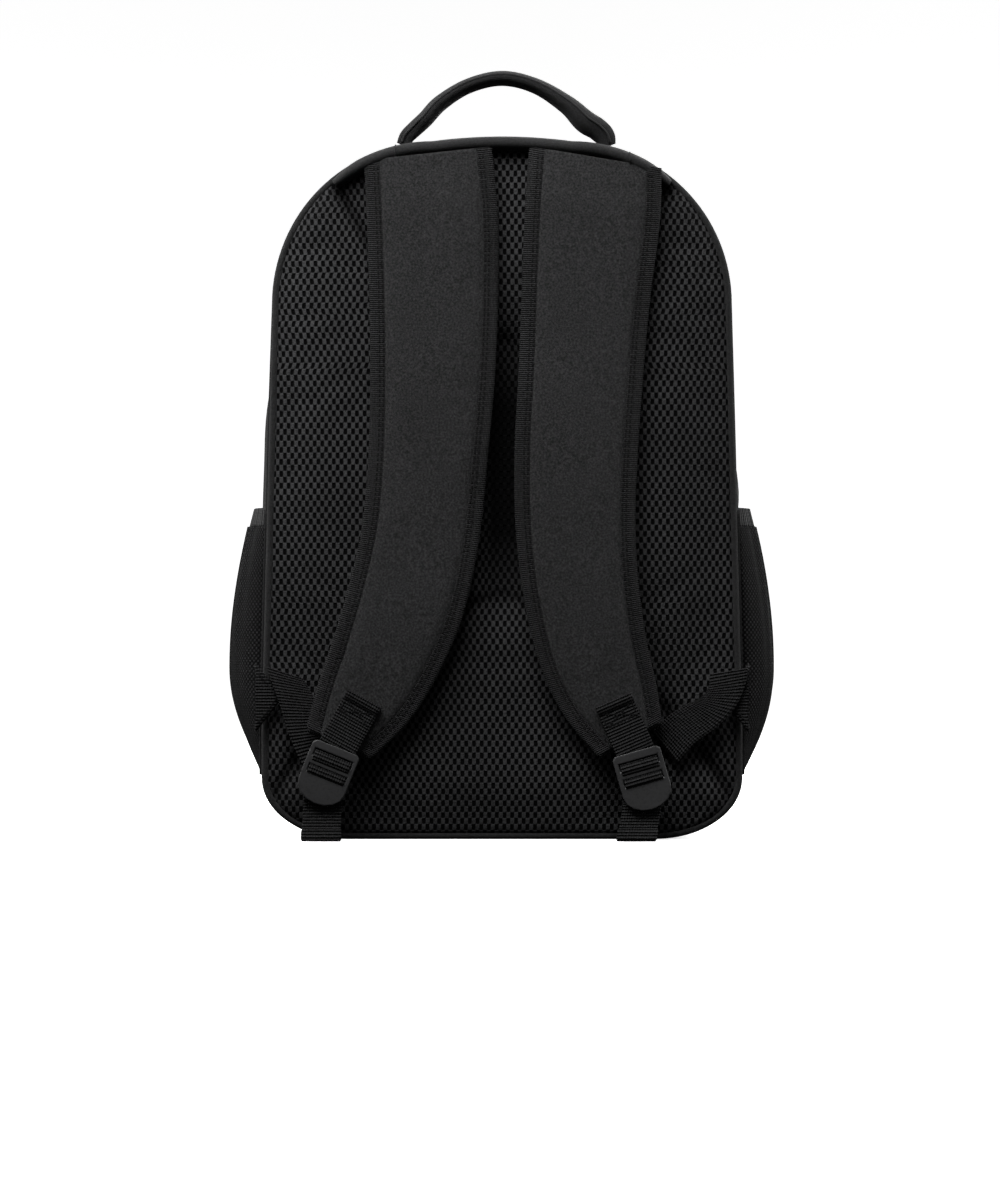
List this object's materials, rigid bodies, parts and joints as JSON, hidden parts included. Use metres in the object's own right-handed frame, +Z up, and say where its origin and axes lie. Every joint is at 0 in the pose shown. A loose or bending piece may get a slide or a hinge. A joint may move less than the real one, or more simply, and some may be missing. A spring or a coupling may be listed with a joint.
{
  "type": "school backpack",
  "caption": "Padded school backpack with mesh back, two curved adjustable shoulder straps, a carry handle, mesh side pockets and a zipped front pocket.",
  "frame": {"origin": "middle of the base where it rests on the floor", "axes": "+Z up; +Y from the padded back towards the front pocket, so the wearer is on the -Y side; +X to the right seen from the wearer's side"},
  "size_m": [0.36, 0.2022, 0.5012],
  "materials": {
    "canvas": "matt woven polyester",
    "mesh_cloth": "knitted spacer mesh",
    "foam": "closed-cell foam",
    "board": "polyethylene sheet",
    "lining": "smooth lining cloth",
    "webbing": "ribbed webbing",
    "elastic": "ribbed elastic tape",
    "zip_tape": "woven zip tape",
    "zip_teeth": "nylon coil",
    "buckle": "fine moulded texture",
    "zip_metal": "black paint"
  },
  "bodies": {
    "pack_body": {"back_board": "board", "back_lining": "lining", "back_mesh": "mesh_cloth", "back_pad_bottom": "foam", "back_pad_left": "foam", "back_pad_right": "foam", "back_pad_top": "foam", "back_piping": "canvas", "base_pad": "foam", "base_panel": "canvas", "left_anchor_tab": "webbing", "left_pocket_elastic": "elastic", "left_side_pocket": "mesh_cloth", "lower_front_panel": "canvas", "rear_gusset": "canvas", "rear_zip_tape": "zip_tape", "rear_zip_teeth": "zip_teeth", "right_anchor_tab": "webbing", "right_pocket_elastic": "elastic", "right_side_pocket": "mesh_cloth"},
    "carry_handle": {"carry_handle": "canvas"},
    "front_flap": {"front_zip_teeth": "zip_teeth", "front_zip_tape": "zip_tape", "front_gusset": "canvas", "front_panel": "canvas", "pouch_rear_zip_teeth": "zip_teeth", "pouch_rear_zip_tape": "zip_tape", "pouch_rear_gusset": "canvas", "pouch_foot": "canvas", "pouch_lower_panel": "canvas"},
    "pouch_flap": {"pouch_front_zip_teeth": "zip_teeth", "pouch_front_zip_tape": "zip_tape", "pouch_front_gusset": "canvas", "pouch_panel": "canvas", "accessory_zip_upper_tape": "zip_tape", "accessory_zip_lower_tape": "zip_tape", "accessory_zip_teeth": "zip_teeth"},
    "left_strap_upper": {"left_strap_upper": "canvas"},
    "left_strap_lower": {"left_strap_lower": "canvas", "left_strap_tab": "webbing"},
    "left_lock": {"left_ladder_lock": "buckle", "left_webbing_tail": "webbing"},
    "left_lower_webbing": {"left_webbing": "webbing"},
    "right_strap_upper": {"right_strap_upper": "canvas"},
    "right_strap_lower": {"right_strap_lower": "canvas", "right_strap_tab": "webbing"},
    "right_lock": {"right_ladder_lock": "buckle", "right_webbing_tail": "webbing"},
    "right_lower_webbing": {"right_webbing": "webbing"},
    "main_left_slider": {"main_left_slider": "zip_metal"},
    "main_left_puller": {"main_left_puller": "zip_metal"},
    "main_right_slider": {"main_right_slider": "zip_metal"},
    "main_right_puller": {"main_right_puller": "zip_metal"},
    "pouch_slider": {"pouch_slider": "zip_metal"},
    "pouch_puller": {"pouch_puller": "zip_metal"},
    "accessory_slider": {"accessory_slider": "zip_metal"},
    "accessory_puller": {"accessory_puller": "zip_metal"}
  },
  "joints": [
    {"name": "handle_swing", "type": "hinge", "parent": "pack_body", "child": "carry_handle", "pos_m": [0.002, -0.058, 0.458], "axis": [1, 0, 0], "range_deg": [-50, 50], "stiffness_Nm_per_rad": 0.02},
    {"name": "front_open", "type": "hinge", "parent": "pack_body", "child": "front_flap", "pos_m": [0, 0.0623, 0.0712], "axis": [-1, 0, 0], "range_deg": [0, 70]},
    {"name": "pouch_open", "type": "hinge", "parent": "front_flap", "child": "pouch_flap", "pos_m": [0, 0.0965, 0.107], "axis": [-1, 0, 0], "range_deg": [0, 35]},
    {"name": "main_left_zip", "type": "hinge", "parent": "pack_body", "child": "main_left_slider", "pos_m": [-0.04354, 0.02835, 0.34708], "axis": [0, -1, 0], "range_deg": [0, 88]},
    {"name": "main_left_pull", "type": "hinge", "parent": "main_left_slider", "child": "main_left_puller", "pos_m": [-0.04354, 0.02835, 0.45186], "axis": [0, 1, 0], "range_deg": [0, 80]},
    {"name": "main_right_zip", "type": "slide", "parent": "pack_body", "child": "main_right_slider", "axis": [1, 0, 0], "range_m": [0, 0.062]},
    {"name": "main_right_pull", "type": "hinge", "parent": "main_right_slider", "child": "main_right_puller", "pos_m": [-0.02754, 0.02835, 0.45186], "axis": [0, -1, 0], "range_deg": [0, 80]},
    {"name": "pouch_zip", "type": "slide", "parent": "front_flap", "child": "pouch_slider", "axis": [-0.016, 0, 0.9999], "range_m": [0, 0.105]},
    {"name": "pouch_pull", "type": "hinge", "parent": "pouch_slider", "child": "pouch_puller", "pos_m": [0.12273, 0.07845, 0.12], "axis": [0, -1, 0], "range_deg": [0, 120]},
    {"name": "accessory_zip", "type": "slide", "parent": "pouch_flap", "child": "accessory_slider", "axis": [-1, 0, 0], "range_m": [0, 0.152]},
    {"name": "accessory_pull", "type": "hinge", "parent": "accessory_slider", "child": "accessory_puller", "pos_m": [0.076, 0.1016, 0.214], "axis": [1, 0, 0], "range_deg": [0, 120]},
    {"name": "left_strap_lift", "type": "hinge", "parent": "pack_body", "child": "left_strap_upper", "pos_m": [-0.048, -0.0742, 0.448], "axis": [-1, 0, 0], "range_deg": [0, 25]},
    {"name": "left_strap_bend", "type": "hinge", "parent": "left_strap_upper", "child": "left_strap_lower", "pos_m": [-0.048, -0.0758, 0.25], "axis": [1, 0, 0], "range_deg": [0, 45]},
    {"name": "left_lock_tilt", "type": "hinge", "parent": "left_strap_lower", "child": "left_lock", "pos_m": [-0.10694, -0.096, 0.05868], "axis": [0.9272, 0, -0.3746], "range_deg": [-35, 20]},
    {"name": "left_webbing_turn", "type": "hinge", "parent": "pack_body", "child": "left_lower_webbing", "pos_m": [-0.141, -0.0788, 0.109], "axis": [-0.3903, -0.9119, 0.1268], "range_deg": [0, 22.9]},
    {"name": "right_strap_lift", "type": "hinge", "parent": "pack_body", "child": "right_strap_upper", "pos_m": [0.06, -0.0742, 0.448], "axis": [-1, 0, 0], "range_deg": [0, 25]},
    {"name": "right_strap_bend", "type": "hinge", "parent": "right_strap_upper", "child": "right_strap_lower", "pos_m": [0.06, -0.0758, 0.25], "axis": [1, 0, 0], "range_deg": [0, 45]},
    {"name": "right_lock_tilt", "type": "hinge", "parent": "right_strap_lower", "child": "right_lock", "pos_m": [0.08669, -0.096, 0.0561], "axis": [0.9613, 0, 0.2756], "range_deg": [-35, 20]},
    {"name": "right_webbing_turn", "type": "hinge", "parent": "pack_body", "child": "right_lower_webbing", "pos_m": [0.147, -0.0788, 0.11], "axis": [-0.8218, 0.5547, -0.1302], "range_deg": [0, 37.1]}
  ],
  "couplings": [
    {"joint": "left_strap_bend", "follows": "left_strap_lift", "ratio": 1.78},
    {"joint": "left_webbing_turn", "follows": "left_strap_lift", "ratio": 0.876},
    {"joint": "right_strap_bend", "follows": "right_strap_lift", "ratio": 1.78},
    {"joint": "right_webbing_turn", "follows": "right_strap_lift", "ratio": 1.444}
  ]
}
